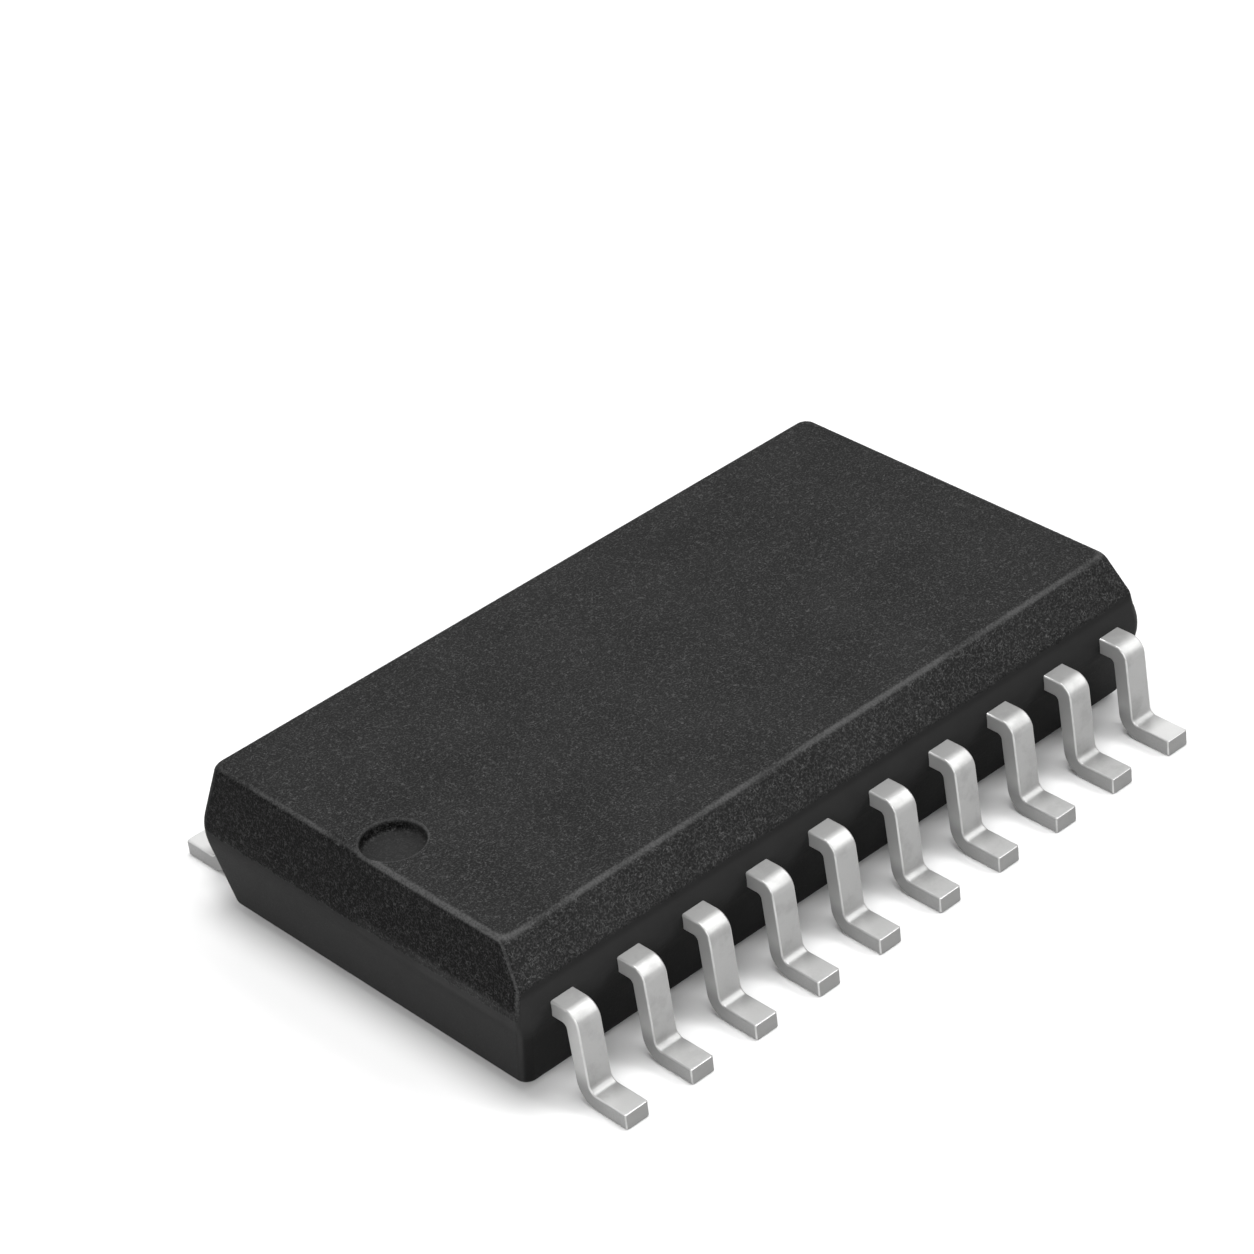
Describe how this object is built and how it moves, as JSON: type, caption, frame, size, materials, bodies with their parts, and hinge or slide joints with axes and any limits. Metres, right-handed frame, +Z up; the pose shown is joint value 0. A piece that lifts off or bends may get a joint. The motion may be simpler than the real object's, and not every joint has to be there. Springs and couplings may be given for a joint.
{
  "type": "small-outline power converter chip",
  "caption": "Flat black moulded body with bent metal leads along both long sides, one chamfered long edge and a round index dimple; steps a supply voltage down on a board.",
  "frame": {"origin": "on the board plane, under the middle of the moulded body", "axes": "+X along the body from lead 1 to lead 10, +Y across it towards leads 11 to 20, +Z up from the board"},
  "size_m": [0.013, 0.01, 0.0026],
  "materials": {
    "mould": "matte black epoxy with a fine grain",
    "tin": "satin tin plate over copper alloy",
    "copper": "bare rolled copper alloy",
    "glue": "metal-filled adhesive",
    "silicon": "polished silicon under a clear coat",
    "wire": "bright drawn wire"
  },
  "bodies": {
    "root": {"moulded_body": "mould", "lead_01": "tin", "lead_02": "tin", "lead_03": "tin", "lead_04": "tin", "lead_05": "tin", "lead_06": "tin", "lead_07": "tin", "lead_08": "tin", "lead_09": "tin", "lead_10": "tin", "lead_11": "tin", "lead_12": "tin", "lead_13": "tin", "lead_14": "tin", "lead_15": "tin", "lead_16": "tin", "lead_17": "tin", "lead_18": "tin", "lead_19": "tin", "lead_20": "tin", "die_pad": "copper", "die_attach": "glue", "die": "silicon", "bond_wires": "wire"}
  },
  "joints": []
}
